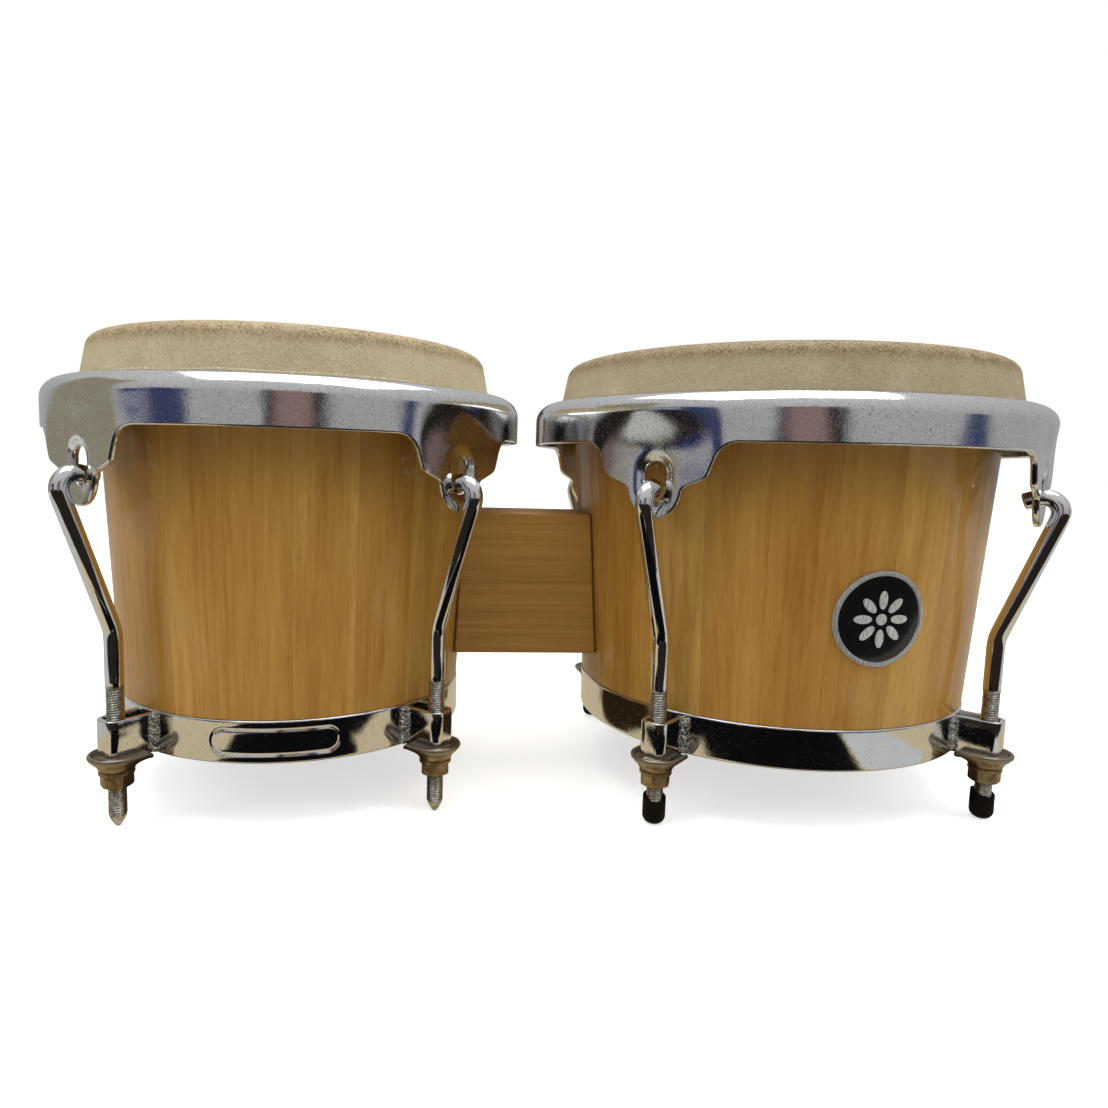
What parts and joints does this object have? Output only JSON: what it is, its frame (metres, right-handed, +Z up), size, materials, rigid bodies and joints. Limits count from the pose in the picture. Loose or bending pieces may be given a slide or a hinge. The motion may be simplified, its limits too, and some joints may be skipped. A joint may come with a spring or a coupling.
{
  "type": "bongo drums",
  "caption": "Bongo drums: staved wooden shells joined by a wooden block, rawhide heads under chromed hoops, tuned by hooks and nuts.",
  "frame": {"origin": "on the floor, at the middle of the footprint of the pair as it stands on its tuning hooks", "axes": "+X from the small drum to the large drum, -Y towards the player and the badge, +Z up along both drums"},
  "size_m": [0.446, 0.2324, 0.1931],
  "materials": {
    "shell_wood": "gloss lacquer over vertical grain",
    "block_wood": "satin lacquer, horizontal grain",
    "rawhide": "matt natural hide, speckled",
    "hoop_chrome": "polished chrome with fine pitting",
    "ring_chrome": "polished chrome",
    "hook_chrome": "polished chrome, rolled thread",
    "dull_nickel": "dull nickel plate",
    "flesh_steel": "plain steel ring, lapped with hide",
    "cap_rubber": "matt black rubber",
    "badge_metal": "satin",
    "badge_black": "gloss black enamel",
    "emblem_silver": "bright silver",
    "bolt_steel": "zinc plated",
    "insert_brass": "plain brass"
  },
  "bodies": {
    "shells": {"macho_staves": "shell_wood", "hembra_staves": "shell_wood", "macho_head": "rawhide", "hembra_head": "rawhide", "macho_foot_ring": "ring_chrome", "hembra_foot_ring": "ring_chrome", "macho_hook_brackets": "ring_chrome", "hembra_hook_brackets": "ring_chrome", "macho_hook_seats": "dull_nickel", "hembra_hook_seats": "dull_nickel", "centre_block": "block_wood", "block_bolts": "bolt_steel", "block_washers": "bolt_steel", "block_inserts": "insert_brass", "badge_rim": "badge_metal", "badge_disc": "badge_black", "badge_emblem": "emblem_silver"},
    "macho_hoop_set": {"macho_hoop": "hoop_chrome", "macho_flesh_ring": "flesh_steel", "macho_hooks": "hook_chrome"},
    "hembra_hoop_set": {"hembra_hoop": "hoop_chrome", "hembra_flesh_ring": "flesh_steel", "hembra_hooks": "hook_chrome", "hembra_hook_caps": "cap_rubber"},
    "macho_nut_back_right": {"macho_nut_back_right": "dull_nickel"},
    "macho_nut_back_left": {"macho_nut_back_left": "dull_nickel"},
    "macho_nut_front_left": {"macho_nut_front_left": "dull_nickel"},
    "macho_nut_front_right": {"macho_nut_front_right": "dull_nickel"},
    "hembra_nut_back_right": {"hembra_nut_back_right": "dull_nickel"},
    "hembra_nut_back_left": {"hembra_nut_back_left": "dull_nickel"},
    "hembra_nut_front_left": {"hembra_nut_front_left": "dull_nickel"},
    "hembra_nut_front_right": {"hembra_nut_front_right": "dull_nickel"}
  },
  "joints": [
    {"name": "macho_hoop_slide", "type": "slide", "parent": "shells", "child": "macho_hoop_set", "axis": [0, 0, 1], "range_m": [-0.003, 0.008]},
    {"name": "hembra_hoop_slide", "type": "slide", "parent": "shells", "child": "hembra_hoop_set", "axis": [0, 0, 1], "range_m": [-0.003, 0.0022]},
    {"name": "macho_nut_back_right_turn", "type": "hinge", "parent": "shells", "child": "macho_nut_back_right", "pos_m": [-0.06444, 0.06646, 0.0195], "axis": [0, 0, 1], "range_deg": [-2881, 1081]},
    {"name": "macho_nut_back_left_turn", "type": "hinge", "parent": "shells", "child": "macho_nut_back_left", "pos_m": [-0.18766, 0.05676, 0.0195], "axis": [0, 0, 1], "range_deg": [-2881, 1081]},
    {"name": "macho_nut_front_left_turn", "type": "hinge", "parent": "shells", "child": "macho_nut_front_left", "pos_m": [-0.17796, -0.06646, 0.0195], "axis": [0, 0, 1], "range_deg": [-2881, 1081]},
    {"name": "macho_nut_front_right_turn", "type": "hinge", "parent": "shells", "child": "macho_nut_front_right", "pos_m": [-0.05474, -0.05676, 0.0195], "axis": [0, 0, 1], "range_deg": [-2881, 1081]},
    {"name": "hembra_nut_back_right_turn", "type": "hinge", "parent": "shells", "child": "hembra_nut_back_right", "pos_m": [0.1785, 0.0717, 0.0195], "axis": [0, 0, 1], "range_deg": [-793, 1081]},
    {"name": "hembra_nut_back_left_turn", "type": "hinge", "parent": "shells", "child": "hembra_nut_back_left", "pos_m": [0.0351, 0.0717, 0.0195], "axis": [0, 0, 1], "range_deg": [-793, 1081]},
    {"name": "hembra_nut_front_left_turn", "type": "hinge", "parent": "shells", "child": "hembra_nut_front_left", "pos_m": [0.0351, -0.0717, 0.0195], "axis": [0, 0, 1], "range_deg": [-793, 1081]},
    {"name": "hembra_nut_front_right_turn", "type": "hinge", "parent": "shells", "child": "hembra_nut_front_right", "pos_m": [0.1785, -0.0717, 0.0195], "axis": [0, 0, 1], "range_deg": [-793, 1081]}
  ],
  "couplings": [
    {"joint": "macho_nut_back_right_turn", "follows": "macho_hoop_slide", "rad_per_m": -6283.2},
    {"joint": "macho_nut_back_left_turn", "follows": "macho_hoop_slide", "rad_per_m": -6283.2},
    {"joint": "macho_nut_front_left_turn", "follows": "macho_hoop_slide", "rad_per_m": -6283.2},
    {"joint": "macho_nut_front_right_turn", "follows": "macho_hoop_slide", "rad_per_m": -6283.2},
    {"joint": "hembra_nut_back_right_turn", "follows": "hembra_hoop_slide", "rad_per_m": -6283.2},
    {"joint": "hembra_nut_back_left_turn", "follows": "hembra_hoop_slide", "rad_per_m": -6283.2},
    {"joint": "hembra_nut_front_left_turn", "follows": "hembra_hoop_slide", "rad_per_m": -6283.2},
    {"joint": "hembra_nut_front_right_turn", "follows": "hembra_hoop_slide", "rad_per_m": -6283.2}
  ]
}
